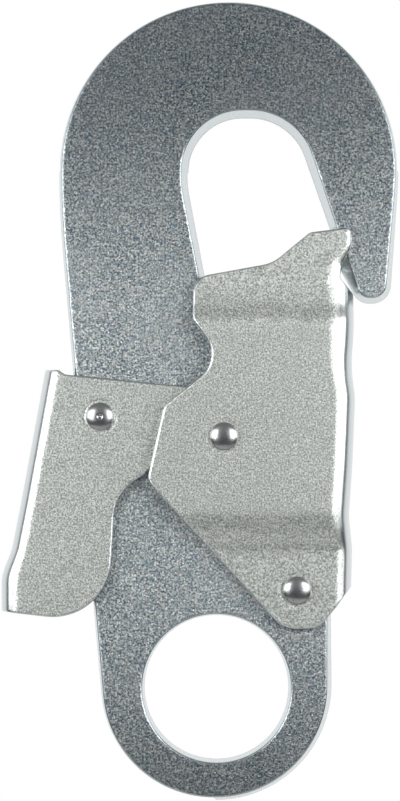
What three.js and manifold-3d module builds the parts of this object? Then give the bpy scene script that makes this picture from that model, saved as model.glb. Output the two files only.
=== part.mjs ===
// A stamped steel snap hook with a double action gate, the end connector of a lifeline.
// Millimetres, +Z up, front face towards -Y. The origin is the saddle of the hook's throat,
// where the anchor bears on the hook, in the middle of the plate's thickness.
// The gate is drawn shut and the lock lever is drawn released.

import * as THREE from "three";
import { mergeVertices } from "three/addons/utils/BufferGeometryUtils.js";
import Module from "manifold-3d";

const wasm = await Module();
wasm.setup();

// ---- driving dimensions -------------------------------------------------------------------

const PLATE = 8; // thickness of the hook's plate
const FACE_ROLL = 0.45; // rolled edge round the plate's front face
const PLAY = 0.3; // between faces that move on each other
const RUNNING_FIT = 0.1; // radial, between a sleeve and the bore it turns in
const SEAT_GAP = 0.1; // between pieces that are fastened together

const GATE_SHEET = 1.6;
const LEVER_SHEET = 1.5;
const LEVER_HALF = PLATE / 2 + 0.25 + LEVER_SHEET; // outer half width of the lever's channel
const GATE_NARROW = PLATE / 2 + PLAY + GATE_SHEET; // half width where the gate hugs the plate
const GATE_WIDE = LEVER_HALF + PLAY + GATE_SHEET; // half width where it covers the lever's arms

const GATE_PIVOT = [8.3, -78.2];
const LEVER_PIVOT = [-23.8, -49.9];
const LOCKING_PIN = [-3.6, -53.1];
const GATE_SWING = THREE.MathUtils.degToRad(21);
const LEVER_PER_GATE = 0.7; // the lever's squeeze for each degree of the gate's swing

const EYE_CENTRE = [-4.8, -94.2];
const EYE_RADIUS = 12.1;
const SHANK_RADIUS = 2;
const SLEEVE_RADIUS = 3;
const LEVER_SHANK_RADIUS = 1.5; // the lever's pivot is slim, as it is close to the plate's edge
const LEVER_SLEEVE_RADIUS = 2.2;
const HEAD_RADIUS = 2.28;
const HEAD_HEIGHT = 1.25;
const LEVER_RIVET_DIMPLE = 0.25;

const GATE_SPRING_Z = -44;
const LEVER_SPRING_Z = -71.4;
const POCKET_RADIUS = 2.75;
const GATE_POCKET_FLOOR = -10;
const LEVER_POCKET_FLOOR = -22.2;
const PATH_MARGIN = 0.05; // more clearance between the lever's arms and the pin's sleeve
const OVER_PIN_ARC = 1.5; // radians of the sleeve that the arms reach over
const CHORD = 0.03; // how far a straight facet may stray from its arc

// ---- outlines, as corners [x, z, rounding radius] -------------------------------------------

// The hook's corners also have how far the blanked wall leans out by the plate's back face.
const HOOK_OUTLINE = [
  [-30.1, 17.6, 27.25, 0.35], // over the hook
  [24.4, 17.6, 27.25, 0.4],
  [24.4, -12.2, 50, 0.6],
  [22.75, -30.6, 2.3, 0.85], // tip
  [18.75, -30.6, 2, 0.85],
  [16.96, -25.5, 0, 1.5],
  [14.65, -18.9, 49, 0.95],
  [8.3, 0, 10.6, 1.1], // throat
  [-10.5, 0, 10, 1.1],
  [-10.5, -12.3, 22, 0.95],
  [-7, -30, 24, 0.85],
  [13.3, -75.8, 5.3, 0.6], // lug of the gate's pivot
  [13.3, -112, 18.2, 0.75], // round the eye
  [-21.9, -112, 18.2, 0.35],
  [-30.1, -16.4, 150, 0.45],
];
const EYE_LEAN = 0.35;

const GATE_CHEEK = [
  [17.15, -19.1, 0.9], // ears over the hook's tip
  [17.2, -22.4, 1.8],
  [15.5, -25.6, 1.2],
  [15.4, -27.3, 0.3],
  [19, -31.5, 0], // past the web
  [19, -75.6, 0],
  [11.9, -84.4, 4],
  [6.1, -84.6, 5],
  [-16.1, -60.4, 2.2],
  [-13.3, -48.1, 2.5],
  [-3.95, -40.6, 4.56], // bay for the lever's rivet head
  [-8.65, -34.1, 2],
  [-8.55, -27.25, 3.2],
  [4.3, -24.9, 6],
  [10.4, -19.9, 1.6],
];

// Above this line the web is cut away, so that the ears can straddle the hook's tip.
const NOSE_GAP = [
  [12, -10, 0],
  [25, -10, 0],
  [25, -38.5, 0],
  [15.4, -27.3, 0],
  [12, -27.3, 0],
];

// [z, x of the web's outside, half width, depth of the bend]
const GATE_STATIONS = [
  [-17, 17.7, GATE_NARROW, 0.8],
  [-24.5, 17.6, GATE_NARROW, 0.8],
  [-28.4, 17.5, GATE_NARROW, 3],
  ...joggle(-28.4, -34.6, GATE_NARROW, GATE_WIDE, [17.5, 17.6], [3, 4]),
  [-37.5, 17.5, GATE_WIDE, 4],
  [-40.6, 17.25, GATE_WIDE, 3.7],
  [-43.5, 17.35, GATE_WIDE, 3.3],
  [-46.6, 17.8, GATE_WIDE, 3.2],
  [-52.2, 17.6, GATE_WIDE, 3.2],
  [-58, 17.35, GATE_WIDE, 3.2],
  [-66, 16.8, GATE_WIDE, 3.1],
  ...joggle(-66, -71.4, GATE_WIDE, GATE_NARROW, [16.8, 17.35], [3.1, 2.5]),
  [-77.8, 17.2, GATE_NARROW, 2.5],
  [-86, 17.2, GATE_NARROW, 2.5],
];
const GATE_BEND_RUN = 4.5; // how far the web's bend reaches across its width

const LEVER_STATIONS = [
  [-41, -32.5, LEVER_HALF, 2.4],
  [-54.1, -34.9, LEVER_HALF, 2.4],
  [-63.9, -36.7, LEVER_HALF, 2.4],
  [-71.5, -38.2, LEVER_HALF, 2.5],
  [-72.6, -38.6, LEVER_HALF, 2.6],
  [-74.8, -39.5, LEVER_HALF, 2.8],
  [-76.4, -39.9, LEVER_HALF, 2.8],
  [-84, -39.9, LEVER_HALF, 2.8],
];
const LEVER_BEND_RUN = 4;

// ---- small helpers --------------------------------------------------------------------------

// Stations of an S-shaped step of the cheeks between two heights.
function joggle(zFrom, zTo, halfFrom, halfTo, [xFrom, xTo], [bendFrom, bendTo]) {
  const { lerp, smoothstep } = THREE.MathUtils;
  return [0.2, 0.4, 0.6, 0.8, 1].map((t) => [
    lerp(zFrom, zTo, t),
    lerp(xFrom, xTo, t),
    lerp(halfFrom, halfTo, smoothstep(t, 0, 1)),
    lerp(bendFrom, bendTo, t),
  ]);
}

// The points of a closed outline whose corners are rounded by arcs. Each keeps its corner's lean.
function roundedOutline(corners) {
  const points = [];
  const add = (point, lean) => points.push(Object.assign(point, { lean }));
  corners.forEach(([x, z, radius, lean = 0], i) => {
    const corner = new THREE.Vector2(x, z);
    const before = new THREE.Vector2(...corners.at(i - 1));
    const after = new THREE.Vector2(...corners[(i + 1) % corners.length]);
    if (!radius) {
      add(corner, lean);
      return;
    }
    const toBefore = before.sub(corner).normalize();
    const toAfter = after.sub(corner).normalize();
    const half = Math.acos(toBefore.dot(toAfter)) / 2;
    const middle = toBefore.clone().add(toAfter).normalize();
    const centre = corner.clone().addScaledVector(middle, radius / Math.sin(half));
    const start = corner.clone().addScaledVector(toBefore, radius / Math.tan(half));
    const turn = (Math.PI - 2 * half) * Math.sign(toAfter.cross(toBefore));
    const steps = Math.max(2, Math.ceil(Math.abs(turn) / facetAngle(radius)));
    for (let k = 0; k <= steps; k += 1) {
      add(start.clone().rotateAround(centre, (turn * k) / steps), lean);
    }
  });
  return points.filter((p, i) => p.distanceTo(points.at(i - 1)) > 0.01);
}

// The angle of one facet that keeps a chord close to its arc.
function facetAngle(radius) {
  return 2 * Math.acos(1 - CHORD / Math.max(radius, 1));
}

function circlePoints([x, z], radius, count = 48) {
  return Array.from({ length: count }, (_, k) => {
    const angle = (2 * Math.PI * k) / count;
    return new THREE.Vector2(x + radius * Math.cos(angle), z + radius * Math.sin(angle));
  });
}

// The outline moved sideways by distanceAt(point), outwards where it is positive.
function offsetOutline(points, distanceAt) {
  const sense = THREE.ShapeUtils.isClockWise(points) ? -1 : 1;
  return points.map((p, i) => {
    const into = p.clone().sub(points.at(i - 1)).normalize();
    const out = points[(i + 1) % points.length].clone().sub(p).normalize();
    const normal = new THREE.Vector2(into.y + out.y, -into.x - out.x).normalize();
    const stretch = 1 / Math.max(0.3, normal.dot(new THREE.Vector2(into.y, -into.x)));
    return p.clone().addScaledVector(normal, sense * distanceAt(p) * stretch);
  });
}

// A closed body from rings of equal length, with caps cut from the first and last ring.
// A ring's loops are its outer contour and then its holes.
function skinned(rings, capPlane) {
  const turned = rings.map((ring) => ring.map((loop, i) => turnedLoop(loop, capPlane, i > 0)));
  const counts = turned[0].map((loop) => loop.length);
  const total = counts.reduce((sum, n) => sum + n, 0);
  const positions = turned.flatMap((ring) => ring.flat()).flatMap((p) => [p.x, p.y, p.z]);
  const index = [];
  for (let r = 0; r + 1 < turned.length; r += 1) {
    let first = r * total;
    for (const n of counts) {
      for (let k = 0; k < n; k += 1) {
        const a = first + k;
        const b = first + ((k + 1) % n);
        index.push(a, b, a + total, b, b + total, a + total);
      }
      first += n;
    }
  }
  const flat = turned[0].map((loop) => loop.map(capPlane));
  const corners = flat.flat();
  const last = (turned.length - 1) * total;
  const faces = THREE.ShapeUtils.triangulateShape(flat[0], flat.slice(1));
  const areas = faces.map((face) => THREE.ShapeUtils.area(face.map((i) => corners[i])));
  const clockwise = areas.reduce((sum, area) => sum + area, 0) < 0;
  for (const face of faces) {
    const [a, b, c] = clockwise ? face.reverse() : face;
    index.push(a, c, b, last + a, last + b, last + c);
  }
  const geometry = new THREE.BufferGeometry();
  geometry.setAttribute("position", new THREE.Float32BufferAttribute(positions, 3));
  geometry.setIndex(index);
  return facingOut(geometry);
}

// The loop running clockwise or the other way, as seen in the cap's plane.
function turnedLoop(loop, capPlane, clockwise) {
  const isTurned = THREE.ShapeUtils.isClockWise(loop.map(capPlane)) === clockwise;
  return isTurned ? loop : [...loop].reverse();
}

// Turns the faces over if the body came out inside out.
function facingOut(geometry) {
  const { array } = geometry.attributes.position;
  const { array: index } = geometry.index;
  const corner = (i) => new THREE.Vector3().fromArray(array, 3 * index[i]);
  let volume = 0;
  for (let i = 0; i < index.length; i += 3) {
    volume += corner(i).dot(corner(i + 1).cross(corner(i + 2)));
  }
  if (volume < 0) geometry.setIndex(Array.from(index).reverse());
  return geometry;
}

function toSolid(geometry) {
  const bare = geometry.clone();
  bare.deleteAttribute("normal");
  bare.deleteAttribute("uv");
  const merged = mergeVertices(bare, 1e-4);
  return new wasm.Manifold(
    new wasm.Mesh({
      numProp: 3,
      vertProperties: merged.attributes.position.array,
      triVerts: new Uint32Array(merged.index.array),
    }),
  );
}

function toGeometry(solid) {
  const { vertProperties, triVerts } = solid.getMesh();
  const geometry = new THREE.BufferGeometry();
  geometry.setAttribute("position", new THREE.BufferAttribute(vertProperties, 3));
  geometry.setIndex(new THREE.BufferAttribute(triVerts, 1));
  geometry.computeVertexNormals();
  return geometry;
}

// A prism of the outline through the whole assembly, or between two depths.
function prism(points, yFrom = -20, yTo = 20) {
  const shape = new THREE.Shape(points);
  const geometry = new THREE.ExtrudeGeometry(shape, { depth: yTo - yFrom, bevelEnabled: false });
  return toSolid(geometry.rotateX(Math.PI / 2).translate(0, yTo, 0));
}

// A round bar along Y, through the plate's faces.
function barAcross([x, z], radius, halfLength, sides = 32) {
  const geometry = new THREE.CylinderGeometry(radius, radius, 2 * halfLength, sides);
  return toSolid(geometry.translate(x, 0, z));
}

// A round bar along X, in the middle of the plate.
function barAlong(xFrom, xTo, z, radius, sides = 24) {
  const geometry = new THREE.CylinderGeometry(radius, radius, xTo - xFrom, sides);
  return toSolid(geometry.rotateZ(Math.PI / 2).translate((xFrom + xTo) / 2, 0, z));
}

// A block with rounded long edges on the web's side, skinned through stations up its length.
// side is +1 for a web on the right; inset shrinks the block by the sheet's thickness.
function channelBlock(stations, bendRun, side, inset) {
  const openEnd = -side * 60;
  const bendSteps = 6;
  const rings = stations.map(([z, web, halfWidth, bend]) => {
    const x = web - side * inset;
    const half = halfWidth - inset;
    const depth = Math.max(bend - inset, 0.05);
    const run = Math.max(Math.min(bendRun, 2 * bend) - inset, 0.05);
    const edge = Array.from({ length: bendSteps + 1 }, (_, k) => {
      const angle = (Math.PI / 2) * (k / bendSteps);
      return [x - side * depth * (1 - Math.sin(angle)), half - run * (1 - Math.cos(angle))];
    });
    const near = edge.map(([ex, ey]) => new THREE.Vector3(ex, -ey, z));
    const far = edge.map(([ex, ey]) => new THREE.Vector3(ex, ey, z)).reverse();
    const open = [new THREE.Vector3(openEnd, half, z), new THREE.Vector3(openEnd, -half, z)];
    return [[...near, ...far, ...open]];
  });
  return toSolid(skinned(rings, (p) => new THREE.Vector2(p.x, p.y)));
}

// A folded sheet: two cheeks and the web that joins them, cut to the cheeks' outline.
function foldedChannel(stations, bendRun, side, sheet, cheekPoints) {
  const outside = channelBlock(stations, bendRun, side, 0);
  const first = stations[0];
  const last = stations.at(-1);
  const longer = [[first[0] + 5, ...first.slice(1)], ...stations, [last[0] - 5, ...last.slice(1)]];
  const inside = channelBlock(longer, bendRun, side, sheet);
  return outside.intersect(prism(cheekPoints)).subtract(inside);
}

// ---- pieces ---------------------------------------------------------------------------------

// The plate's front face has a rolled edge, and its walls lean out towards the back face.
function hookBody() {
  const outline = roundedOutline(HOOK_OUTLINE);
  const eye = circlePoints(EYE_CENTRE, EYE_RADIUS, 56);
  const ring = (y, outlineGrowth, eyeShrink) =>
    [offsetOutline(outline, outlineGrowth), offsetOutline(eye, () => -eyeShrink)].map((loop) =>
      loop.map((p) => new THREE.Vector3(p.x, y, p.y)),
    );
  const rings = [
    ring(-PLATE / 2, () => -FACE_ROLL, -FACE_ROLL),
    ring(-PLATE / 2 + FACE_ROLL, () => 0, 0),
    ring(PLATE / 2, (p) => p.lean, EYE_LEAN),
  ];
  return toSolid(skinned(rings, (p) => new THREE.Vector2(p.x, p.z)))
    .subtract(prism(pinSlot()))
    .subtract(barAcross(GATE_PIVOT, SLEEVE_RADIUS + RUNNING_FIT, PLATE))
    .subtract(barAcross(LEVER_PIVOT, LEVER_SLEEVE_RADIUS + RUNNING_FIT, PLATE))
    .subtract(barAlong(GATE_POCKET_FLOOR, 12, GATE_SPRING_Z, POCKET_RADIUS))
    .subtract(barAlong(-40, LEVER_POCKET_FLOOR, LEVER_SPRING_Z, POCKET_RADIUS));
}

// The kidney-shaped slot that the locking pin travels in, centred on the gate's pivot.
function pinSlot() {
  const [gx, gz] = GATE_PIVOT;
  const [px, pz] = LOCKING_PIN;
  const reach = Math.hypot(px - gx, pz - gz);
  const shut = Math.atan2(pz - gz, px - gx);
  const open = shut + GATE_SWING;
  const width = SLEEVE_RADIUS + PLAY;
  const at = (angle) => [gx + reach * Math.cos(angle), gz + reach * Math.sin(angle)];
  const slot = new THREE.Shape();
  slot.absarc(gx, gz, reach + width, shut, open, false);
  slot.absarc(...at(open), width, open, open + Math.PI, false);
  slot.absarc(gx, gz, reach - width, open, shut, true);
  slot.absarc(...at(shut), width, shut + Math.PI, shut + 2 * Math.PI, false);
  const points = slot.extractPoints(8).shape;
  return points.filter((p, i) => p.distanceTo(points.at(i - 1)) > 0.01);
}

function gate() {
  const cheeks = roundedOutline(GATE_CHEEK);
  const insideEars = GATE_NARROW - GATE_SHEET;
  return foldedChannel(GATE_STATIONS, GATE_BEND_RUN, 1, GATE_SHEET, cheeks)
    .subtract(prism(roundedOutline(NOSE_GAP), -insideEars, insideEars))
    .add(barAlong(14, 16.6, GATE_SPRING_Z, 1.4))
    .subtract(barAcross(GATE_PIVOT, SHANK_RADIUS + SEAT_GAP, 12))
    .subtract(barAcross(LOCKING_PIN, SHANK_RADIUS + SEAT_GAP, 12));
}

// The underside of the lever's arms follows the locking pin's path as the lever sees it.
function pinPathInLever() {
  const gatePivot = new THREE.Vector2(...GATE_PIVOT);
  const leverPivot = new THREE.Vector2(...LEVER_PIVOT);
  const steps = 9;
  return Array.from({ length: steps + 1 }, (_, k) => {
    const swing = (GATE_SWING * k) / steps;
    const pin = new THREE.Vector2(...LOCKING_PIN).rotateAround(gatePivot, swing);
    return pin.rotateAround(leverPivot, -LEVER_PER_GATE * swing);
  });
}

function leverUnderside() {
  const clearance = SLEEVE_RADIUS + PLAY + PATH_MARGIN;
  const path = pinPathInLever();
  const normals = path.map((_, i) => {
    const along = path[Math.min(i + 1, path.length - 1)].clone().sub(path[Math.max(i - 1, 0)]);
    return new THREE.Vector2(along.y, -along.x).normalize();
  });
  const overPin = [-1, -0.75, -0.5, -0.25].map((share) => {
    const away = normals[0].clone().rotateAround(new THREE.Vector2(), OVER_PIN_ARC * share);
    return path[0].clone().addScaledVector(away, clearance);
  });
  return [...overPin, ...path.map((p, i) => p.clone().addScaledVector(normals[i], clearance))];
}

function leverCheek() {
  const upper = roundedOutline([
    [-44, -42.3, 0],
    [-30.7, -42.3, 0.6],
    [-29.5, -43.05, 0.6],
    [-0.6, -45.95, 2],
    [-0.6, -50, 0],
    [-44, -50, 0],
  ]).slice(0, -2);
  const lower = roundedOutline([
    [-16.2, -59.15, 0],
    [-21.3, -62.2, 8],
    [-22.6, -83.65, 9.5],
    [-44, -81.2, 0],
  ]);
  return [...upper, ...leverUnderside(), ...lower];
}

function lockLever() {
  return foldedChannel(LEVER_STATIONS, LEVER_BEND_RUN, -1, LEVER_SHEET, leverCheek())
    .add(barAlong(-37.4, -35.2, LEVER_SPRING_Z, 1.3))
    .subtract(barAcross(LEVER_PIVOT, LEVER_SHANK_RADIUS + SEAT_GAP, 12));
}

// A straight rivet with a domed head on each side, turned about the Y axis through its centre.
function rivet(centre, shankRadius, halfWidth, dimple = 0) {
  const seat = halfWidth + SEAT_GAP;
  const rise = HEAD_HEIGHT;
  const dome = (sign) =>
    [0, 0.2, 0.4, 0.6, 0.8, 1].map((t) => {
      const angle = (Math.PI / 2) * t;
      return [HEAD_RADIUS * Math.cos(angle), sign * (seat + rise * (0.25 + 0.75 * Math.sin(angle)))];
    });
  const front = dome(-1);
  front[front.length - 1] = [0, -(seat + rise - dimple)];
  const profile = [
    ...front.reverse(),
    [HEAD_RADIUS, -seat],
    [shankRadius, -seat],
    [shankRadius, seat],
    [HEAD_RADIUS, seat],
    ...dome(1),
  ].map(([r, y]) => new THREE.Vector2(Math.max(r, 0), y));
  profile.at(-1).x = 0;
  const geometry = new THREE.LatheGeometry(profile, 28);
  return toSolid(geometry.translate(centre[0], 0, centre[1]));
}

// A plain sleeve that turns on a rivet's shank.
function sleeve(centre, shankRadius, radius, halfLength) {
  const bore = shankRadius + SEAT_GAP;
  return barAcross(centre, radius, halfLength).subtract(barAcross(centre, bore, 20));
}

class Coil extends THREE.Curve {
  constructor(xFrom, xTo, z, radius, turns) {
    super();
    Object.assign(this, { xFrom, xTo, z, radius, turns });
  }

  getPoint(t, target = new THREE.Vector3()) {
    const angle = 2 * Math.PI * this.turns * t;
    const x = THREE.MathUtils.lerp(this.xFrom, this.xTo, t);
    return target.set(x, this.radius * Math.cos(angle), this.z + this.radius * Math.sin(angle));
  }
}

function coilSpring(xFrom, xTo, z, coilRadius, wireRadius, turns) {
  const wire = new THREE.Shape(circlePoints([0, 0], wireRadius, 6));
  const path = new Coil(xFrom, xTo, z, coilRadius, turns);
  return toSolid(
    new THREE.ExtrudeGeometry(wire, { steps: turns * 12, bevelEnabled: false, extrudePath: path }),
  );
}

// ---- finishes and assembly ------------------------------------------------------------------

const blastedZinc = new THREE.MeshStandardMaterial({ color: 0x76797c, roughness: 0.5, metalness: 1 });
const satinZinc = new THREE.MeshStandardMaterial({ color: 0x9c9e9c, roughness: 0.45, metalness: 1 });
const brightSteel = new THREE.MeshStandardMaterial({ color: 0x8b8d8f, roughness: 0.2, metalness: 1 });
const springSteel = new THREE.MeshStandardMaterial({ color: 0x9a9a96, roughness: 0.3, metalness: 1 });

const hook = new THREE.Group();

function addPiece(name, solid, material) {
  const mesh = new THREE.Mesh(toGeometry(solid), material);
  mesh.name = name;
  hook.add(mesh);
}

addPiece("hook_body", hookBody(), blastedZinc);
addPiece("gate", gate(), satinZinc);
addPiece("lock_lever", lockLever(), satinZinc);
const insideNarrow = GATE_NARROW - GATE_SHEET - SEAT_GAP;
const insideWide = GATE_WIDE - GATE_SHEET - SEAT_GAP;
const insideLever = LEVER_HALF - LEVER_SHEET - SEAT_GAP;
const leverRivet = rivet(LEVER_PIVOT, LEVER_SHANK_RADIUS, LEVER_HALF, LEVER_RIVET_DIMPLE);
const leverSleeve = sleeve(LEVER_PIVOT, LEVER_SHANK_RADIUS, LEVER_SLEEVE_RADIUS, insideLever);
const gateSleeve = sleeve(GATE_PIVOT, SHANK_RADIUS, SLEEVE_RADIUS, insideNarrow);
const pinSleeve = sleeve(LOCKING_PIN, SHANK_RADIUS, SLEEVE_RADIUS, insideWide);
addPiece("gate_pivot_rivet", rivet(GATE_PIVOT, SHANK_RADIUS, GATE_NARROW), brightSteel);
addPiece("lever_pivot_rivet", leverRivet, brightSteel);
addPiece("locking_pin", rivet(LOCKING_PIN, SHANK_RADIUS, GATE_WIDE), brightSteel);
addPiece("gate_pivot_sleeve", gateSleeve, brightSteel);
addPiece("lever_pivot_sleeve", leverSleeve, brightSteel);
addPiece("locking_pin_sleeve", pinSleeve, brightSteel);
addPiece("gate_spring", coilSpring(-9.3, 15.1, GATE_SPRING_Z, 2.05, 0.38, 9), springSteel);
addPiece("lever_spring", coilSpring(-35.9, -22.9, LEVER_SPRING_Z, 1.95, 0.35, 6), springSteel);

export default hook;
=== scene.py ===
"""Looks of a stamped steel snap hook with a double action gate: pieces, finishes, studio."""

import math

import bmesh
import bpy
import numpy as np
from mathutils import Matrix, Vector
from mathutils.geometry import delaunay_2d_cdt


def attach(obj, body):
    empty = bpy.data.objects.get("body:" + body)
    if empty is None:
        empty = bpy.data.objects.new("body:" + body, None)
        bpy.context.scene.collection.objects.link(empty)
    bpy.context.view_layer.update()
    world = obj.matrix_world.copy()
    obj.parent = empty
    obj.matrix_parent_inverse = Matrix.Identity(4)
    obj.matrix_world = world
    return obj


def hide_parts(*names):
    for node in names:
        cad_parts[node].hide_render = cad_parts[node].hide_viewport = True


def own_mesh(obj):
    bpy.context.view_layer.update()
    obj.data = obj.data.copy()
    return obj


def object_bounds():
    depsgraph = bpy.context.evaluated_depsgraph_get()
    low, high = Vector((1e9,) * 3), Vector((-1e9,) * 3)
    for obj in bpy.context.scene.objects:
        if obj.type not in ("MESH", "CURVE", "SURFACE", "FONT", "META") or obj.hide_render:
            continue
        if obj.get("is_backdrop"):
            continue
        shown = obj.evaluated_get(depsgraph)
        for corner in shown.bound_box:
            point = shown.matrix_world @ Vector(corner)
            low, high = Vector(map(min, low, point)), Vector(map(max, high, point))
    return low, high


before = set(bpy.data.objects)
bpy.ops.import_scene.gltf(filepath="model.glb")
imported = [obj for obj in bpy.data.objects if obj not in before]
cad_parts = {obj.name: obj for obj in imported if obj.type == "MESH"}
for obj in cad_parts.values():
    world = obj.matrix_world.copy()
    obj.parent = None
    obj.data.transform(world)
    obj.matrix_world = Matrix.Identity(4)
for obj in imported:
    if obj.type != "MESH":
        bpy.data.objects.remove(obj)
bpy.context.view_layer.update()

MM = 0.001

# ---- dimensions, in millimetres --------------------------------------------------------------

PLATE = 8.0
PLAY = 0.3
SEAT_GAP = 0.1
RUNNING_FIT = 0.1
GATE_SHEET = 1.6
LEVER_SHEET = 1.5
LEVER_HALF = PLATE / 2 + 0.25 + LEVER_SHEET
GATE_NARROW = PLATE / 2 + PLAY + GATE_SHEET
GATE_WIDE = LEVER_HALF + PLAY + GATE_SHEET

GATE_PIVOT = (8.3, -78.2)
LEVER_PIVOT = (-23.8, -49.9)
LOCKING_PIN = (-3.6, -53.1)
GATE_SWING = math.radians(21)
LEVER_PER_GATE = 0.7

EYE_CENTRE = (-4.8, -94.2)
EYE_RADIUS = 12.1
EYE_LEAN = 0.35
SHANK_RADIUS = 2.0
SLEEVE_RADIUS = 3.0
LEVER_SHANK_RADIUS = 1.5
LEVER_SLEEVE_RADIUS = 2.2
HEAD_RADIUS = 2.28
HEAD_HEIGHT = 1.25
GATE_SPRING_Z = -44.0
LEVER_SPRING_Z = -71.4
POCKET_RADIUS = 2.75
GATE_POCKET_FLOOR = -10.0
LEVER_POCKET_FLOOR = -22.2
GATE_POCKET_MOUTH = 16.0  # past the plate's edge, so that the drill cuts right through it
LEVER_POCKET_MOUTH = -40.0
PATH_MARGIN = 0.05  # more clearance between the lever's arms and the pin's sleeve
OVER_PIN_ARC = 1.5  # radians of the sleeve that the arms reach over
LEVER_RIVET_DIMPLE = 0.45
DIMPLE_WIDTH = 0.26
RING_GAP = 0.32  # the pressed ring's distance from a rivet's head
RING_WIDTH = 0.16
RING_DEPTH = 0.05
UPPER_STEP = 0.65  # how far the cheeks have stepped out at the middle of the upper joggle
LOWER_STEP = 0.6  # and how far they have stepped in again at that of the lower one

# Each spring: x from, x to, coil radius, wire radius, turns. Its squash: fixed end, length kept.
GATE_COIL = (-9.3, 15.1, 2.05, 0.38, 9)
GATE_COIL_SQUASH = (-9.6, 0.46)
LEVER_COIL = (-35.9, -22.9, 1.95, 0.35, 6)
LEVER_COIL_SQUASH = (-22.6, 0.595)

CHORD = 0.008  # how far a facet may stray from its arc
POINT_SPACING = 0.9  # longest step along an outline
HOLD = 0.18  # flat margin inside a rolled edge
ROLL_STEPS = 4

# Corners of the plate: x, z, rounding radius, and how far the wall leans out at the back.
HOOK_OUTLINE = [
    (-30.1, 17.6, 27.25, 0.35), (24.4, 17.6, 27.25, 0.4), (24.4, -12.2, 50, 0.6),
    (22.75, -30.6, 2.3, 0.85), (18.75, -30.6, 2, 0.85), (16.96, -25.5, 0, 1.5),
    (14.65, -18.9, 49, 0.95), (8.3, 0, 10.6, 1.1), (-10.5, 0, 10, 1.1), (-10.5, -12.3, 22, 0.95),
    (-7, -30, 24, 0.85), (13.3, -75.8, 5.3, 0.6), (13.3, -112, 18.2, 0.75),
    (-21.9, -112, 18.2, 0.35), (-30.1, -16.4, 150, 0.45),
]

# The gate's cheek, from past the web at its foot, round the cheek, to past the web at its top.
GATE_CHEEK = [
    (19, -75.6, 0), (11.9, -84.4, 4), (6.1, -84.6, 5), (-16.1, -60.4, 2.2), (-13.3, -48.1, 2.5),
    (-3.95, -40.6, 4.56), (-8.65, -34.1, 2), (-8.55, -27.25, 3.2), (4.3, -24.9, 6),
    (10.4, -19.9, 1.6), (17.15, -19.1, 0.9), (17.2, -22.4, 1.8), (15.5, -25.6, 1.2),
    (15.4, -27.3, 0.3), (19, -31.5, 0),
]

# Height, x of the web's outside, half width, depth of the bend.
GATE_STATIONS = [
    (-17, 17.7, GATE_NARROW, 1.2), (-22, 17.65, GATE_NARROW, 1.2), (-23.3, 17.6, GATE_NARROW, 2),
    (-24.8, 17.6, GATE_NARROW, 4), (-26.5, 17.55, GATE_NARROW, 4.4),
    (-28.4, 17.5, GATE_NARROW, 4.4), (-31.6, 17.55, GATE_NARROW + UPPER_STEP, 4.2),
    (-34.4, 17.6, GATE_WIDE, 4), (-37.5, 17.5, GATE_WIDE, 4),
    (-40.6, 17.25, GATE_WIDE, 3.7), (-43.5, 17.35, GATE_WIDE, 3.3), (-46.6, 17.8, GATE_WIDE, 3.2),
    (-52.2, 17.6, GATE_WIDE, 3.2), (-58, 17.35, GATE_WIDE, 3.2), (-66, 16.8, GATE_WIDE, 3.1),
    (-68.7, 17.05, GATE_WIDE - LOWER_STEP, 2.8), (-71.3, 17.35, GATE_NARROW, 2.5),
    (-77.8, 17.2, GATE_NARROW, 2.5), (-86, 17.2, GATE_NARROW, 2.5),
]
GATE_BEND_RUN = 4.5

LEVER_STATIONS = [
    (-41, 32.5, LEVER_HALF, 2.4), (-54.1, 34.9, LEVER_HALF, 2.4), (-63.9, 36.7, LEVER_HALF, 2.4),
    (-71.5, 38.2, LEVER_HALF, 2.5), (-72.6, 38.6, LEVER_HALF, 2.6), (-74.8, 39.5, LEVER_HALF, 2.8),
    (-76.4, 39.9, LEVER_HALF, 2.8), (-84, 39.9, LEVER_HALF, 2.8),
]
LEVER_BEND_RUN = 4.0


# ---- outlines --------------------------------------------------------------------------------

def rounded(corners):
    """Points (x, z, lean) of a closed outline whose corners are rounded by arcs."""
    points = []
    count = len(corners)
    for i, (x, z, radius, *rest) in enumerate(corners):
        lean = rest[0] if rest else 0.0
        corner = Vector((x, z))
        if not radius:
            points.append((x, z, lean))
            continue
        to_before = (Vector(corners[i - 1][:2]) - corner).normalized()
        to_after = (Vector(corners[(i + 1) % count][:2]) - corner).normalized()
        half = math.acos(to_before.dot(to_after)) / 2
        centre = corner + (to_before + to_after).normalized() * (radius / math.sin(half))
        arm = corner + to_before * (radius / math.tan(half)) - centre
        turn = math.copysign(math.pi - 2 * half, to_after.cross(to_before))
        steps = max(3, math.ceil(abs(turn) / (2 * math.acos(1 - CHORD / max(radius, 1)))))
        for k in range(steps + 1):
            c, s = math.cos(turn * k / steps), math.sin(turn * k / steps)
            points.append((centre.x + arm.x * c - arm.y * s, centre.y + arm.x * s + arm.y * c, lean))
    return points


def spaced(points, closed=True):
    """The same line with no step longer than the point spacing, and no doubled points."""
    rows = [np.array(points[0], float)]
    ends = list(points[1:]) + ([points[0]] if closed else [])
    for end in ends:
        end = np.array(end, float)
        start = rows[-1]
        length = np.linalg.norm(end[:2] - start[:2])
        if length < 0.01:
            continue
        steps = max(1, math.ceil(length / POINT_SPACING))
        rows += [start + (end - start) * k / steps for k in range(1, steps + 1)]
    if closed:
        rows.pop()
    return np.array(rows)


def circle(centre, radius, count=64):
    angles = np.linspace(0, 2 * math.pi, count, endpoint=False)
    ring = np.column_stack([np.cos(angles), np.sin(angles)]) * radius
    return ring + np.array(centre)


def signed_area(loop):
    x, z = loop[:, 0], loop[:, 1]
    return 0.5 * float(np.sum(x * np.roll(z, -1) - z * np.roll(x, -1)))


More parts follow.
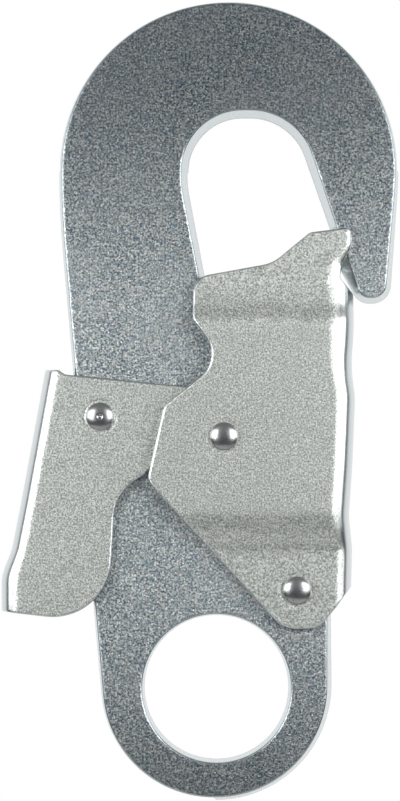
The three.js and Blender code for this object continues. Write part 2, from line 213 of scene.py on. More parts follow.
def inward(loop, closed=True, is_hole=False):
    """At each point of a line, the step into the sheet that moves its edge by one millimetre."""
    before = loop - np.roll(loop, 1, axis=0)
    after = np.roll(loop, -1, axis=0) - loop
    if not closed:
        before[0], after[-1] = after[0], before[-1]
    left = [np.column_stack([-d[:, 1], d[:, 0]]) for d in (before, after)]
    left = [d / np.linalg.norm(d, axis=1)[:, None] for d in left]
    middle = left[0] + left[1]
    middle /= np.maximum(np.linalg.norm(middle, axis=1), 1e-6)[:, None]
    stretch = 1 / np.maximum(np.sum(middle * left[0], axis=1), 0.4)
    sense = math.copysign(1, signed_area(loop)) * (-1 if is_hole else 1)
    return middle * stretch[:, None] * sense


def within(points, loop):
    """Which of the points lie inside a closed loop."""
    x, z = points[:, 0], points[:, 1]
    a, b = loop, np.roll(loop, -1, axis=0)
    ax, az, bx, bz = (v[:, None] for v in (a[:, 0], a[:, 1], b[:, 0], b[:, 1]))
    rise = np.where(np.abs(bz - az) < 1e-12, 1e-12, bz - az)
    crossed = ((az > z) != (bz > z)) & (x < (bx - ax) * (z - az) / rise + ax)
    return crossed.sum(0) % 2 == 1


# ---- sheets with rolled edges ----------------------------------------------------------------

def edge_rows(sheet, front_roll, back_roll):
    """From the front face round the edge to the back face: inset, depth, and how edge-like."""
    turns = [math.pi / 2 * k / ROLL_STEPS for k in range(ROLL_STEPS + 1)]
    front = [(front_roll * (1 - math.cos(t)), front_roll * (1 - math.sin(t)), math.cos(t))
             for t in reversed(turns)]
    back = [(back_roll * (1 - math.cos(t)), sheet - back_roll * (1 - math.sin(t)), math.cos(t))
            for t in turns]
    walls = 3 if sheet > 4 else 1
    first, last = front_roll, sheet - back_roll
    wall = [(0.0, first + (last - first) * k / (walls + 1), 1.0) for k in range(1, walls + 1)]
    return [(front_roll + HOLD, 0.0, 0.0), *front, *wall, *back, (back_roll + HOLD, sheet, 0.0)]


class SheetMesh:
    """Gathers a sheet's points and faces. place turns pattern points and depths into space."""

    def __init__(self, place, smoothed):
        self.place = place
        self.smoothed = smoothed
        self.points = []
        self.rims = []
        self.faces = []

    def add(self, pattern, depth, rim=0.0):
        first = len(self.points)
        self.points.extend(self.place(pattern, np.broadcast_to(depth, len(pattern))))
        self.rims.extend(np.maximum(rim, self.smoothed(pattern)))
        return list(range(first, len(self.points)))

    def edge(self, loop, lean, rows, closed=True, is_hole=False, seam=None):
        """Skins the edge along a loop. Returns the innermost loops of the front and the back."""
        step = inward(loop, closed, is_hole)
        wall_rows = [depth for inset, depth, rim in rows if rim == 1.0]
        first, last = min(wall_rows), max(wall_rows)
        made = []
        for inset, depth, rim in rows:
            share = min(max((depth - first) / (last - first), 0), 1)
            ring = loop + step * (inset - lean * share)[:, None]
            if seam:
                ring = seam(ring, loop, inset)
            made.append((ring, self.add(ring, depth, rim)))
        count = len(loop)
        for (_, near), (_, far) in zip(made, made[1:]):
            for k in range(count if closed else count - 1):
                m = (k + 1) % count
                self.faces.append((near[k], near[m], far[m], far[k]))
        return made[0], made[-1]

    def fill(self, outer, holes, depth, free):
        """Fills a face between an outer loop and holes, with free points inside it."""
        loops = [outer, *holes]
        if len(free):
            keep = within(free, outer[0])
            for ring, _ in holes:
                keep &= ~within(free, ring)
            free = free[keep]
            fence = np.vstack([ring for ring, _ in loops])
            gaps = np.sqrt(((free[:, None, :] - fence[None, :, :]) ** 2).sum(2)).min(1)
            free = free[gaps > 0.3]
        flat = np.vstack([ring for ring, _ in loops] + ([free] if len(free) else []))
        ids = [i for _, row in loops for i in row]
        ids += self.add(free, depth) if len(free) else []
        edges, start = [], 0
        for ring, _ in loops:
            count = len(ring)
            edges += [(start + k, start + (k + 1) % count) for k in range(count)]
            start += count
        verts, _, faces, origins, _, _ = delaunay_2d_cdt(
            [Vector(p) for p in flat], edges, [list(range(len(outer[0])))], 1, 1e-6)
        centres = np.array([[sum(verts[i].x for i in f) / len(f), sum(verts[i].y for i in f) / len(f)]
                            for f in faces])
        keep = within(centres, outer[0])
        for ring, _ in holes:
            keep &= ~within(centres, ring)
        for face, kept in zip(faces, keep):
            if kept:
                self.faces.append([ids[origins[i][0]] for i in face])

    def mesh(self, name, mirrored=False):
        data = bmesh.new()
        rim = data.verts.layers.float.new("rim")
        for sign in (1, -1) if mirrored else (1,):
            verts = []
            for (x, y, z), share in zip(self.points, self.rims):
                vert = data.verts.new((x * MM, sign * y * MM, z * MM))
                vert[rim] = share
                verts.append(vert)
            for face in self.faces:
                corners = [verts[i] for i in face]
                if len(set(corners)) == len(corners):
                    data.faces.new(corners)
        if mirrored:
            seam = [v for v in data.verts if abs(v.co.y) < 1e-8]
            bmesh.ops.remove_doubles(data, verts=seam, dist=2e-6)
        return finished_mesh(data, name)


def finished_mesh(data, name, sharp=40):
    """Closes up a bmesh into a smooth mesh that faces out."""
    bmesh.ops.recalc_face_normals(data, faces=data.faces)
    mesh = bpy.data.meshes.new(name)
    data.to_mesh(mesh)
    data.free()
    mesh.shade_smooth()
    mesh.set_sharp_from_angle(angle=math.radians(sharp))
    return mesh


# ---- the plate -------------------------------------------------------------------------------

PLATE_ROLL = 0.38
PLATE_BACK_ROLL = 0.3


def pin_slot():
    """The kidney-shaped slot that the locking pin travels in."""
    gx, gz = GATE_PIVOT
    px, pz = LOCKING_PIN
    reach = math.hypot(px - gx, pz - gz)
    shut = math.atan2(pz - gz, px - gx)
    width = SLEEVE_RADIUS + PLAY
    points = []

    def arc(centre, radius, start, end, count):
        for angle in np.linspace(start, end, count):
            points.append((centre[0] + radius * math.cos(angle), centre[1] + radius * math.sin(angle)))

    def at(angle):
        return gx + reach * math.cos(angle), gz + reach * math.sin(angle)

    arc((gx, gz), reach + width, shut, shut + GATE_SWING, 16)
    arc(at(shut + GATE_SWING), width, shut + GATE_SWING, shut + GATE_SWING + math.pi, 20)
    arc((gx, gz), reach - width, shut + GATE_SWING, shut, 12)
    arc(at(shut), width, shut + math.pi, shut + 2 * math.pi, 20)
    return spaced(points)


def plate_place(pattern, depth):
    return np.column_stack([pattern[:, 0], depth - PLATE / 2, pattern[:, 1]])


def hook_plate():
    sheet = SheetMesh(plate_place, lambda pattern: np.zeros(len(pattern)))
    rows = edge_rows(PLATE, PLATE_ROLL, PLATE_BACK_ROLL)
    fine = edge_rows(PLATE, 0.25, 0.25)
    outline = spaced(rounded(HOOK_OUTLINE))
    fronts, backs = [], []
    loops = [
        (outline[:, :2], outline[:, 2], rows, False),
        (circle(EYE_CENTRE, EYE_RADIUS, 96), EYE_LEAN, rows, True),
        (pin_slot(), 0.0, fine, True),
        (circle(GATE_PIVOT, SLEEVE_RADIUS + RUNNING_FIT, 48), 0.0, fine, True),
        (circle(LEVER_PIVOT, LEVER_SLEEVE_RADIUS + RUNNING_FIT, 48), 0.0, fine, True),
    ]
    for loop, lean, profile, is_hole in loops:
        front, back = sheet.edge(loop, np.broadcast_to(lean, len(loop)), profile, is_hole=is_hole)
        fronts.append(front)
        backs.append(back)
    nothing = np.empty((0, 2))
    sheet.fill(fronts[0], fronts[1:], 0.0, nothing)
    sheet.fill(backs[0], backs[1:], PLATE, nothing)
    mesh = sheet.mesh("hook_plate")
    plate = bpy.data.objects.new("hook_plate", mesh)
    bpy.context.scene.collection.objects.link(plate)
    drill_pocket(plate, GATE_POCKET_FLOOR, GATE_POCKET_MOUTH, GATE_SPRING_Z)
    drill_pocket(plate, LEVER_POCKET_MOUTH, LEVER_POCKET_FLOOR, LEVER_SPRING_Z)
    return plate


def drill_pocket(plate, x_from, x_to, z):
    """Drills a spring's pocket along X into the plate."""
    data = bmesh.new()
    bmesh.ops.create_cone(data, cap_ends=True, segments=48, radius1=POCKET_RADIUS * MM,
                          radius2=POCKET_RADIUS * MM, depth=(x_to - x_from) * MM)
    for vert in data.verts:
        x, y, height = vert.co
        vert.co = (height + (x_from + x_to) / 2 * MM, y, x + z * MM)
    cutter = bpy.data.objects.new("cutter", bpy.data.meshes.new("cutter"))
    bmesh.ops.recalc_face_normals(data, faces=data.faces)
    data.to_mesh(cutter.data)
    data.free()
    bpy.context.scene.collection.objects.link(cutter)
    cut = plate.modifiers.new("pocket", "BOOLEAN")
    cut.object, cut.operation, cut.solver = cutter, "DIFFERENCE", "EXACT"
    bpy.context.view_layer.update()
    ready = plate.evaluated_get(bpy.context.evaluated_depsgraph_get())
    old = plate.data
    plate.data = bpy.data.meshes.new_from_object(ready)
    plate.data.name = "hook_plate"
    plate.modifiers.clear()
    bpy.data.meshes.remove(old)
    bpy.data.objects.remove(cutter)


# ---- folded channels -------------------------------------------------------------------------

SOFTEN = 0.7  # the stations' kinks are blended over this height each way
SHEET_ROLL = 0.32
SHEET_BACK_ROLL = 0.15


def eased(share):
    share = np.clip(share, 0, 1)
    return share * share * (3 - 2 * share)


class Channel:
    """A folded sheet as half a flat pattern: distance across the cheek and round to the web."""

    def __init__(self, stations, bend_run, side, sheet, shank, pivots, flat_above=0.0):
        self.table = np.array(sorted(stations), float).T
        self.bend_run = bend_run
        self.side = side
        self.sheet = sheet
        self.shank = shank
        self.pivots = pivots
        self.flat_above = flat_above  # the inner face is flat above this height, clear of the bend

    def section(self, z):
        """Web, half width, bend depth, bend run and length round the bend, at each height."""
        at = np.asarray(z, float)[..., None] + np.linspace(-SOFTEN, SOFTEN, 9)
        heights = self.table[0]
        web, half, bend = (np.interp(at, heights, row).mean(-1) for row in self.table[1:])
        run = np.minimum(self.bend_run, 2 * bend)
        return web, half, bend, run, math.pi / 2 * np.sqrt((bend**2 + run**2) / 2)

    def unfold(self, x, z):
        web, _, bend, _, arc = self.section(z)
        start = web - bend
        sine = np.clip(1 - (web - x) / bend, 0, 1)
        return np.where(x <= start, x, start + arc * np.arcsin(sine) * 2 / math.pi)

    def middle(self, z):
        web, half, bend, run, arc = self.section(z)
        return web - bend + arc + half - run

    def place(self, pattern, depth):
        across, z = pattern[:, 0], pattern[:, 1]
        web, half, bend, run, arc = self.section(z)
        start = web - bend
        turn = np.clip((across - start) / arc, 0, 1) * math.pi / 2
        inset = depth * eased((self.flat_above - z) / 2.5)
        x = np.where(across <= start, across, web - inset - (bend - inset) * (1 - np.sin(turn)))
        thinned = (1 - depth / self.sheet) * eased((z - self.flat_above) / 1.5 + 1)
        fold = 1 - eased((z - self.flat_above) / 1.5 + 1) + thinned
        y = half - depth - (run - inset) * (1 - np.cos(turn)) * fold
        past = np.clip(across - start - arc, 0, None)
        y = y - past * (half - depth - run + inset) / (half - run)
        for px, pz in self.pivots:
            ring = np.hypot(x - px, z - pz) - (HEAD_RADIUS + RING_GAP)
            y = y - RING_DEPTH * np.exp(-((ring / RING_WIDTH) ** 2)) * (1 - depth / self.sheet)
        return np.column_stack([self.side * x, -y, z])

    def smoothed(self, pattern):
        """How far the press has ironed the grain flat: 0 on the cheek, 1 round the bend."""
        web, _, bend, _, arc = self.section(pattern[:, 1])
        return 0.9 * eased((pattern[:, 0] - (web - bend) - 0.1 * arc) / (0.3 * arc))

    def round_bend(self, beyond, inner):
        """Pattern points from the web's middle, round the bend, towards a point of the cheek."""
        beyond, inner = np.array(beyond[:2], float), np.array(inner[:2], float)
        low, high = 0.0, 1.0
        for _ in range(40):
            share = (low + high) / 2
            x, z = inner + (beyond - inner) * share
            low, high = (share, high) if x < self.section(z)[0] else (low, share)
        crossing = inner + (beyond - inner) * low
        z = crossing[1]
        web, half, bend, run, arc = (float(v) for v in self.section(z))
        flat = np.linspace(self.middle(z), web - bend + arc, 4)
        points = [(p, z) for p in flat]
        for k in range(1, 11):
            x, z = crossing + (inner - crossing) * (k / 11) ** 2
            points.append((float(self.unfold(x, z)), z))
        return points

    def chain(self, cheek):
        """The pattern's open outline, from the web's middle at one end to that at the other."""
        inner = [(float(self.unfold(x, z)), z) for x, z, *_ in cheek[1:-1]]
        first = self.round_bend(cheek[0], cheek[1])
        last = self.round_bend(cheek[-1], cheek[-2])[::-1]
        return spaced([*first, *inner, *last], closed=False)

    def grid(self, low, high, reach):
        """Free points over the pattern: close together round the bend, wider on the flat."""
        points = []
        for z in np.arange(low, high, 0.75):
            web, half, bend, run, arc = (float(v) for v in self.section(z))
            start = web - bend
            across = [start - 0.35, start - 0.9, *np.arange(start - 2, start - reach, -1.8)]
            across += [start + arc * k / 9 for k in range(0, 10)]
            across += list(np.linspace(start + arc, start + arc + half - run, 5))[1:-1]
            points += [(p, z) for p in across]
        points = np.array(points)
        for pivot in self.pivots:
            points = points[np.hypot(*(points - np.array(pivot)).T) > 3.5]
        rings = [circle(pivot, r, 48) for pivot in self.pivots
                 for r in (2.3, 2.42, 2.52, 2.6, 2.68, 2.78, 2.95, 3.3)]
        return np.vstack([points, *rings])

    def build(self, name, cheek):
        sheet = SheetMesh(self.place, self.smoothed)
        chain = self.chain(cheek)
        rows = edge_rows(self.sheet, SHEET_ROLL, SHEET_BACK_ROLL)
        ends = (0, len(chain) - 1)

        def on_seam(ring, loop, inset):
            ring = ring.copy()
            for end, inside in zip(ends, (ends[1], ends[0])):
                towards = math.copysign(1, loop[inside][1] - loop[end][1])
                z = loop[end][1] + towards * inset
                ring[end] = (float(self.middle(z)), z)
            return ring

        front, back = sheet.edge(chain, np.zeros(len(chain)), rows, closed=False, seam=on_seam)
        bores = [sheet.edge(circle(p, self.shank + SEAT_GAP, 48), np.zeros(48),
                            edge_rows(self.sheet, 0.06, 0.06), is_hole=True) for p in self.pivots]
        heights = chain[:, 1]
        free = self.grid(heights.min(), heights.max(), 36)
        for (ring, row), holes, depth in ((front, [b[0] for b in bores], 0.0),
                                          (back, [b[1] for b in bores], self.sheet)):
            z_from, z_to = ring[-1][1], ring[0][1]
            count = int(abs(z_to - z_from) / 0.75)
            seam_z = np.linspace(z_from, z_to, count + 1)[1:-1]
            seam = np.column_stack([self.middle(seam_z), seam_z])
            ids = sheet.add(seam, depth)
            sheet.fill((np.vstack([ring, seam]), row + ids), holes, depth, free)
        for i, (x, y, z) in enumerate(sheet.points):
            if abs(y) < 1e-5:
                sheet.points[i] = (x, 0.0, z)
        return sheet.mesh(name, mirrored=True)


def lever_cheek():
    """The lever's cheek with x turned over, so that its web is on the right."""
    upper = rounded([(44, -42.3, 0), (30.7, -42.3, 0.6), (29.5, -43.05, 0.6), (0.6, -45.95, 2),
                     (0.6, -50, 0), (44, -50, 0)])[:-2]
    lower = rounded([(16.2, -59.15, 0), (21.3, -62.2, 8), (22.6, -83.65, 9.5), (44, -81.2, 0)])
    return [*upper, *lever_underside(), *lower]


def turned_about(point, centre, angle):
    dx, dz = point[0] - centre[0], point[1] - centre[1]
    c, s = math.cos(angle), math.sin(angle)
    return np.array([centre[0] + dx * c - dz * s, centre[1] + dx * s + dz * c])


def lever_underside():
    """Clearance along the locking pin's path, as the lever sees it."""
    clearance = SLEEVE_RADIUS + PLAY + PATH_MARGIN
    path = []
    for k in range(13):
        swing = GATE_SWING * k / 12
        pin = turned_about(LOCKING_PIN, GATE_PIVOT, swing)
        path.append(turned_about(pin, LEVER_PIVOT, -LEVER_PER_GATE * swing))
    path = np.array(path)
    along = np.gradient(path, axis=0)
    normals = np.column_stack([along[:, 1], -along[:, 0]])
    normals /= np.linalg.norm(normals, axis=1)[:, None]
    over = [path[0] + turned_about(normals[0], (0, 0), -OVER_PIN_ARC * (1 - k / 6)) * clearance
            for k in range(6)]
    points = over + list(path + normals * clearance)
    return [(-x, z) for x, z in points]


# ---- turned and coiled pieces ----------------------------------------------------------------

def turned(name, centre, profile, closed=False, segments=72):
    """A body turned about the Y axis through centre, from a profile of (radius, y)."""
    data = bmesh.new()
    rows = []
    for radius, y in profile:
        if radius < 1e-6:
            rows.append([data.verts.new((centre[0] * MM, y * MM, centre[1] * MM))])
            continue
        rows.append([data.verts.new(((centre[0] + radius * math.cos(a)) * MM, y * MM,
                                     (centre[1] + radius * math.sin(a)) * MM))
                     for a in np.linspace(0, 2 * math.pi, segments, endpoint=False)])
    pairs = list(zip(rows, rows[1:])) + ([(rows[-1], rows[0])] if closed else [])
    for near, far in pairs:
        for k in range(segments):
            m = (k + 1) % segments
            corners = [near[k % len(near)], near[m % len(near)], far[m % len(far)], far[k % len(far)]]
            corners = list(dict.fromkeys(corners))
            if len(corners) > 2:
                data.faces.new(corners)
    return finished_mesh(data, name, sharp=50)


def rivet(name, centre, shank, half_width, dimple=0.0):
    """A shank with a domed head on each side. The front head may have a centre dimple."""
    seat = half_width + SEAT_GAP
    edge = 0.14
    rim = 0.3 * HEAD_HEIGHT

    def head(hollow):
        points = [(shank, seat), (HEAD_RADIUS - edge, seat)]
        points += [(HEAD_RADIUS - edge * (1 - math.sin(t)), seat + edge * (1 - math.cos(t)))
                   for t in np.linspace(0, math.pi / 2, 5)[1:]]
        points.append((HEAD_RADIUS, seat + rim))
        for t in np.linspace(0, math.pi / 2, 18)[1:]:
            radius = HEAD_RADIUS * math.cos(t)
            dip = hollow * math.exp(-((radius / DIMPLE_WIDTH) ** 2))
            points.append((radius, seat + rim + (HEAD_HEIGHT - rim) * math.sin(t) - dip))
        points[-1] = (0.0, points[-1][1])
        return points

    front = [(r, -y) for r, y in reversed(head(dimple))]
    return turned(name, centre, front + head(0.0))


def sleeve(name, centre, inner, outer, half_length):
    bevel = 0.15
    profile = [(inner, half_length - bevel), (inner + bevel, half_length), (outer - bevel, half_length),
               (outer, half_length - bevel), (outer, bevel - half_length), (outer - bevel, -half_length),
               (inner + bevel, -half_length), (inner, bevel - half_length)]
    return turned(name, centre, profile, closed=True)


def coil(name, z, x_from, x_to, radius, wire, turns):
    """A compression spring along X with closed ends, swept as a closed tube."""
    steps = 28 * turns
    sides = 12
    closed_advance = 2.1 * wire
    data = bmesh.new()
    angles = [2 * math.pi * turns * k / steps for k in range(steps + 1)]
    shares = np.linspace(0, turns, steps + 1)
    knots = [0, 1, 1.4, turns - 1.4, turns - 1, turns]
    length = x_to - x_from
    along = [0, closed_advance, closed_advance * 1.9, length - closed_advance * 1.9,
             length - closed_advance, length]
    xs = x_from + np.interp(shares, knots, along)
    rings = []
    for k, angle in enumerate(angles):
        spine = Vector((xs[k], radius * math.cos(angle), z + radius * math.sin(angle)))
        out = Vector((0, math.cos(angle), math.sin(angle)))
        along_wire = Vector((0, -math.sin(angle), math.cos(angle)))
        side = out.cross(along_wire).normalized()
        rings.append([data.verts.new((spine + (out * math.cos(t) + side * math.sin(t)) * wire) * MM)
                      for t in np.linspace(0, 2 * math.pi, sides, endpoint=False)])
    for near, far in zip(rings, rings[1:]):
        for k in range(sides):
            m = (k + 1) % sides
            data.faces.new((near[k], near[m], far[m], far[k]))
    for end in (rings[0], rings[-1]):
        data.faces.new(end)
    return finished_mesh(data, name)


# ---- finishes --------------------------------------------------------------------------------

class Value:
    """A number socket of a node tree. Arithmetic on it adds Math nodes."""

    def __init__(self, nodes, socket):
        self.nodes = nodes
        self.socket = socket

    def math(self, operation, *others):
        values = [self, *others]
        node = self.nodes.node("ShaderNodeMath", {"operation": operation}, *values)
        return Value(self.nodes, node.outputs[0])

    def __add__(self, other):
        return self.math("ADD", other)

    __radd__ = __add__

    def __mul__(self, other):
        return self.math("MULTIPLY", other)

    __rmul__ = __mul__

    def __sub__(self, other):
        return self.math("SUBTRACT", other)

    def __rsub__(self, other):
        return self * -1.0 + other

    def between(self, low, high):
        """0 below low, 1 above high, eased between them."""
        node = self.nodes.node(
            "ShaderNodeMapRange", {"interpolation_type": "SMOOTHSTEP"}, self, low, high, 0.0, 1.0)
        return Value(self.nodes, node.outputs[0])


class Nodes:
    """An emptied node tree, and the one way that nodes are added to it."""

    def __init__(self, owner):
        owner.use_nodes = True
        self.tree = owner.node_tree
        self.tree.nodes.clear()

    def node(self, kind, settings, *values, **named):
        """Adds a node: its settings first, then values or links of its sockets."""
        node = self.tree.nodes.new(kind)
        for key, setting in settings.items():
            setattr(node, key, setting)
        for socket, value in [*zip(node.inputs, values), *((node.inputs[k], v) for k, v in named.items())]:
            self.feed(socket, value)
        return node

    def feed(self, socket, value):
        if isinstance(value, Value):
            value = value.socket
        if isinstance(value, bpy.types.NodeSocket):
            self.tree.links.new(value, socket)
        else:
            socket.default_value = value

    def value(self, node, output=0):
        return Value(self, node.outputs[output])


class Finish(Nodes):
    """A procedural finish."""

    def __init__(self, name, roughness, metallic=1.0):
        self.material = bpy.data.materials.new(name)
        super().__init__(self.material)
        self.shader = self.node("ShaderNodeBsdfPrincipled", {})
        self.shader.inputs["Roughness"].default_value = roughness
        self.shader.inputs["Metallic"].default_value = metallic
        output = self.node("ShaderNodeOutputMaterial", {})
        self.tree.links.new(self.shader.outputs[0], output.inputs["Surface"])

    def set(self, **inputs):
        for name, value in inputs.items():
            self.feed(self.shader.inputs[name.replace("_", " ")], value)

    def millimetres(self):
        """Place on the piece, in millimetres."""
        place = self.node("ShaderNodeTexCoord", {})
        scaled = self.node("ShaderNodeVectorMath", {"operation": "SCALE"}, place.outputs["Object"])
        scaled.inputs["Scale"].default_value = 1000.0
        return scaled.outputs[0]

    def noise(self, place, per_mm, detail=2.0, roughness=0.5, distortion=0.0):
        node = self.node("ShaderNodeTexNoise", {}, Vector=place, Scale=per_mm, Detail=detail,
                         Roughness=roughness, Distortion=distortion)
        return self.value(node, "Fac")

    def cells(self, place, per_mm):
        """Random cells: the distance from each cell's middle, and each cell's random colour."""
        node = self.node("ShaderNodeTexVoronoi", {}, Vector=place, Scale=per_mm)
        parts = self.node("ShaderNodeSeparateColor", {}, node.outputs["Color"])
        return [self.value(node, "Distance")] + [self.value(parts, i) for i in range(3)]

    def mix(self, share, a, b, blend="MIX"):
        node = self.node("ShaderNodeMix", {"data_type": "RGBA", "blend_type": blend})
        self.feed(node.inputs["Factor"], share)
        self.feed(node.inputs[6], a)
        self.feed(node.inputs[7], b)
        return node.outputs[2]

    def attribute(self, name):
        return self.value(self.node("ShaderNodeAttribute", {"attribute_name": name}), "Fac")

    def bump(self, height, microns, strength=1.0):
        node = self.node("ShaderNodeBump", {}, Height=height, Distance=microns * 1e-6, Strength=strength)
        self.feed(self.shader.inputs["Normal"], node.outputs[0])


def rgb(red, green, blue):
    return (red, green, blue, 1.0)


def blasted_zinc():
    """Coarse blasted plate under dull zinc: dark blue-grey with bright crystal flecks, and painted shade
    that darkens it towards both ends.
    """
    f = Finish("blasted_zinc", 0.42)
    place = f.millimetres()
    height = f.value(f.node("ShaderNodeSeparateXYZ", {}, place), 2)
    rim = f.attribute("rim")
    distance, pick, tint, gleam = f.cells(place, 2.1)
    distance_fine, pick_fine, tint_fine, gleam_fine = f.cells(place, 3.4)
    grain = f.noise(place, 3.0, 3.0, 0.65)
    mottle = f.noise(place, 0.11, 3.0, 0.55)
    smear = f.noise(place, 0.5, 2.0, 0.5, 0.6)
    spot = pick.between(0.62, 0.9) * (1 - distance.between(0.2, 0.6))
    spot_fine = pick_fine.between(0.6, 0.9) * (1 - distance_fine.between(0.2, 0.65))
    ground = f.mix(grain.between(0.4, 0.6), rgb(0.08, 0.11, 0.12), rgb(0.62, 0.66, 0.64))
    ground = f.mix(tint.between(0.5, 1.0) * 0.4, ground, rgb(0.05, 0.2, 0.3))
    ground = f.mix(tint_fine.between(0.55, 1.0) * 0.35, ground, rgb(0.16, 0.13, 0.26))
    ground = f.mix(smear.between(0.62, 0.8) * 0.25, ground, rgb(0.42, 0.46, 0.46))
    flecked = f.mix(spot, ground, rgb(1.0, 1.0, 0.99))
    flecked = f.mix(spot_fine, flecked, rgb(0.95, 0.98, 0.97))
    flecked = f.mix(mottle.between(0.3, 0.75) * 0.22, flecked, rgb(0.5, 0.54, 0.55))
    # Painted shade: the plate's colour darkens towards its crown and its eye end, away from 57 mm below
    # the saddle, standing in for the lamps' light falling off there.
    painted_end_shade = (height + 57.0).math("ABSOLUTE").between(16.0, 66.0)
    flecked = f.mix(painted_end_shade * 0.75, flecked, rgb(0.22, 0.23, 0.25), "MULTIPLY")
    edge = rim.between(0.05, 0.75)
    drawn = f.node("ShaderNodeVectorMath", {"operation": "MULTIPLY"}, place, (1.0, 0.12, 1.0))
    drag = f.noise(drawn.outputs[0], 2.2, 3.0, 0.6)
    f.set(Base_Color=f.mix(edge, flecked, f.mix(drag, rgb(0.46, 0.52, 0.54), rgb(0.54, 0.6, 0.62))),
          Roughness=0.46 - edge * 0.28 + edge * drag * 0.1 - spot * 0.16)
    f.bump((grain * 0.6 + gleam * 0.5 + gleam_fine * 0.3) * (1 - edge * 0.92) + drag * edge * 0.12, 45)
    return f.material


def satin_zinc():
    """Fine satin zinc on pressed sheet."""
    f = Finish("satin_zinc", 0.42)
    place = f.millimetres()
    rim = f.attribute("rim")
    distance, pick, tint, gleam = f.cells(place, 2.8)
    grain = f.noise(place, 3.8, 3.0, 0.65)
    mottle = f.noise(place, 0.09, 3.0, 0.55)
    spot = pick.between(0.5, 1.0) * (1 - distance.between(0.1, 0.62))
    ground = f.mix(grain.between(0.36, 0.64), rgb(0.27, 0.3, 0.28), rgb(0.9, 0.93, 0.89))
    ground = f.mix(tint.between(0.5, 1.0) * 0.14, ground, rgb(0.42, 0.55, 0.55))
    ground = f.mix(mottle.between(0.35, 0.7) * 0.15, ground, rgb(0.48, 0.51, 0.5))
    flecked = f.mix(spot, ground, rgb(1.0, 1.0, 0.98))
    edge = rim.between(0.1, 0.85)
    f.set(Base_Color=f.mix(edge, flecked, rgb(0.64, 0.68, 0.69)), Roughness=0.42 - edge * 0.2)
    f.bump((grain * 0.6 + gleam * 0.5) * (1 - edge * 0.9), 28)
    return f.material


def bright_steel():
    """Upset rivet steel: polished, with fine turning marks and faint handling stains."""
    f = Finish("bright_steel", 0.2)
    place = f.millimetres()
    stain = f.noise(place, 0.8, 3.0, 0.6, 0.5)
    marks = f.noise(place, 6.0, 2.0, 0.6)
    f.set(Base_Color=f.mix(stain.between(0.4, 0.75), rgb(0.42, 0.43, 0.44), rgb(0.3, 0.31, 0.32)),
          Roughness=0.2 + stain * 0.14)
    f.bump(marks, 2)
    return f.material


def spring_steel():
    f = Finish("spring_steel", 0.3)
    place = f.millimetres()
    drawn = f.noise(place, 3.0, 3.0, 0.6)
    f.set(Base_Color=f.mix(drawn.between(0.35, 0.7), rgb(0.55, 0.54, 0.51), rgb(0.38, 0.37, 0.35)),
          Roughness=0.24 + drawn * 0.14)
    f.bump(drawn, 3)
    return f.material


def pale_floor():
    f = Finish("pale_floor", 0.7, 0.0)
    place = f.millimetres()
    tone = f.noise(place, 0.02, 3.0, 0.5)
    f.set(Base_Color=f.mix(tone.between(0.3, 0.7), rgb(0.54, 0.54, 0.54), rgb(0.58, 0.58, 0.58)))
    return f.material


# ---- assembly --------------------------------------------------------------------------------

FINISHES = {
    "blasted_zinc": blasted_zinc(),
    "satin_zinc": satin_zinc(),
    "bright_steel": bright_steel(),
    "spring_steel": spring_steel(),
}


def fit(piece, body, node, finish):
    """Puts a piece on its body in place of a CAD node, with its finish."""
    if isinstance(piece, bpy.types.Mesh):
        piece = bpy.data.objects.new(piece.name, piece)
        bpy.context.scene.collection.objects.link(piece)
    piece.data.materials.clear()
    piece.data.materials.append(FINISHES[finish])
    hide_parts(node)
    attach(piece, body)
    return piece


gate_channel = Channel(GATE_STATIONS, GATE_BEND_RUN, 1, GATE_SHEET, SHANK_RADIUS,
                       [GATE_PIVOT, LOCKING_PIN], flat_above=-25.5)
lever_pivot_turned = (-LEVER_PIVOT[0], LEVER_PIVOT[1])
lever_channel = Channel(LEVER_STATIONS, LEVER_BEND_RUN, -1, LEVER_SHEET, LEVER_SHANK_RADIUS,
                        [lever_pivot_turned])
bore = SHANK_RADIUS + SEAT_GAP
lever_bore = LEVER_SHANK_RADIUS + SEAT_GAP
gate_rivet = rivet("gate_rivet", GATE_PIVOT, SHANK_RADIUS, GATE_NARROW)
lever_rivet = rivet("lever_rivet", LEVER_PIVOT, LEVER_SHANK_RADIUS, LEVER_HALF,
                    LEVER_RIVET_DIMPLE)
lock_rivet = rivet("lock_rivet", LOCKING_PIN, SHANK_RADIUS, GATE_WIDE)
gate_bush = sleeve("gate_bush", GATE_PIVOT, bore, SLEEVE_RADIUS,
                   GATE_NARROW - GATE_SHEET - SEAT_GAP)
lever_bush = sleeve("lever_bush", LEVER_PIVOT, lever_bore, LEVER_SLEEVE_RADIUS,
                    LEVER_HALF - LEVER_SHEET - SEAT_GAP)
lock_roller = sleeve("lock_roller", LOCKING_PIN, bore, SLEEVE_RADIUS,
                     GATE_WIDE - GATE_SHEET - SEAT_GAP)

fit(hook_plate(), "hook", "hook_body", "blasted_zinc")
fit(gate_channel.build("gate_channel", rounded(GATE_CHEEK)), "gate", "gate", "satin_zinc")
fit(lever_channel.build("lever_channel", lever_cheek()), "lever", "lock_lever", "satin_zinc")
fit(gate_rivet, "gate", "gate_pivot_rivet", "bright_steel")
fit(lever_rivet, "lever", "lever_pivot_rivet", "bright_steel")
fit(lock_rivet, "gate", "locking_pin", "bright_steel")
fit(gate_bush, "gate", "gate_pivot_sleeve", "bright_steel")
fit(lever_bush, "lever", "lever_pivot_sleeve", "bright_steel")
fit(lock_roller, "gate", "locking_pin_sleeve", "bright_steel")
for name, node, joint, z, shape, (fixed_end, keep) in (
        ("gate_coil", "gate_spring", "gate_swing", GATE_SPRING_Z, GATE_COIL, GATE_COIL_SQUASH),
        ("lever_coil", "lever_spring", "lever_squeeze", LEVER_SPRING_Z, LEVER_COIL,
         LEVER_COIL_SQUASH)):
    spring = fit(coil(name, z, *shape), "hook", node, "spring_steel")
    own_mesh(spring)

# ---- studio ----------------------------------------------------------------------------------

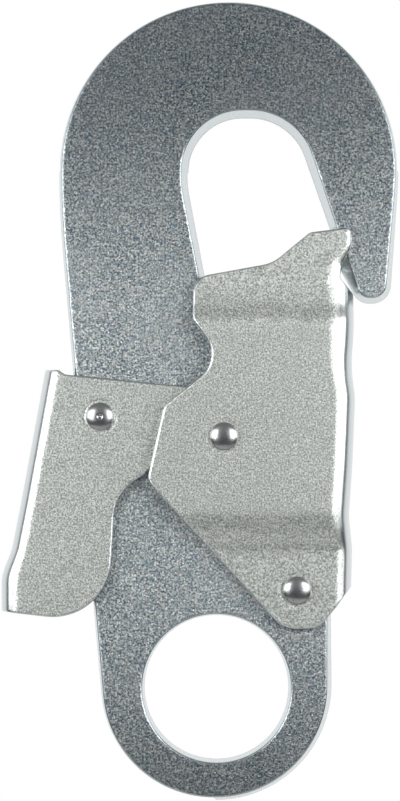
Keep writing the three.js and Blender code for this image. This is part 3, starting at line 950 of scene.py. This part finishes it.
CAMERA_DISTANCE = 1.5
FRAME_HEIGHT = 0.13056  # of the frame, at the plate's front face
FRAME_MIDDLE = (-0.0075, -0.0473)
SENSOR = 36  # millimetres
FLOOR_RADIUS = 0.28
FLOOR_DROP = 0.14  # below the eye
# Each side's lights: name, distance to the side, depth, height, size, power.
SIDE_LIGHTS = (
    ("softbox", 0.245, -0.17, 0.0, (0.38, 0.19), 0.62),
    ("key", 0.16, -0.2, -0.02, (0.1, 0.13), 0.18),
)

low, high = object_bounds()
camera_data = bpy.data.cameras.new("camera")
camera_data.sensor_width = SENSOR
camera_data.lens = SENSOR * CAMERA_DISTANCE / FRAME_HEIGHT
camera_data.clip_end = 20
camera = bpy.data.objects.new("camera", camera_data)
camera.location = (FRAME_MIDDLE[0], -PLATE / 2 * MM - CAMERA_DISTANCE, FRAME_MIDDLE[1])
camera.rotation_euler = (math.pi / 2, 0, 0)
bpy.context.scene.collection.objects.link(camera)
bpy.context.scene.camera = camera


def softbox(name, place, size, power):
    """A rectangular soft light that faces the hook."""
    data = bpy.data.lights.new(name, "AREA")
    data.shape = "RECTANGLE"
    data.size, data.size_y = size
    data.energy = power
    light = bpy.data.objects.new(name, data)
    light.location = place
    aim = Vector((FRAME_MIDDLE[0], 0, FRAME_MIDDLE[1])) - Vector(place)
    light.rotation_euler = aim.to_track_quat("-Z", "Y").to_euler()
    bpy.context.scene.collection.objects.link(light)


for side, side_name in ((-1, "left"), (1, "right")):
    for name, out, depth, height, size, power in SIDE_LIGHTS:
        softbox(f"{side_name}_{name}", (FRAME_MIDDLE[0] + side * out, depth, height), size, power)

world = bpy.data.worlds.new("studio")
bpy.context.scene.world = world
sky = Nodes(world)
sky_place = sky.node("ShaderNodeTexCoord", {})
direction = sky.node("ShaderNodeSeparateXYZ", {}, sky_place.outputs["Generated"])


def sky_ramp(axis, start, end, dim, bright):
    """Strength that eases from dim to bright along one axis of the sky."""
    return sky.value(sky.node("ShaderNodeMapRange", {"interpolation_type": "SMOOTHSTEP"},
                              direction.outputs[axis], start, end, dim, bright))


behind = sky_ramp("Y", 0.1, 0.5, 0.0, 1.0)
above = sky_ramp("Z", -0.3, 0.6, 0.07, 0.3)
seen = sky.value(sky.node("ShaderNodeLightPath", {}), "Is Camera Ray")
strength = seen.math("MAXIMUM", behind.math("MAXIMUM", above))
backdrop = sky.node("ShaderNodeBackground", {}, Color=rgb(1, 1, 1), Strength=strength)
sky.node("ShaderNodeOutputWorld", {}, Surface=backdrop.outputs[0])

data = bmesh.new()
bmesh.ops.create_circle(data, cap_ends=True, segments=96, radius=FLOOR_RADIUS)
floor_mesh = bpy.data.meshes.new("floor")
data.to_mesh(floor_mesh)
data.free()
floor = bpy.data.objects.new("floor", floor_mesh)
floor.location = (FRAME_MIDDLE[0], 0, low.z - FLOOR_DROP)
floor_mesh.materials.append(pale_floor())
bpy.context.scene.collection.objects.link(floor)
floor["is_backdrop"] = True

bpy.context.scene.view_settings.view_transform = "Standard"

low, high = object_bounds()
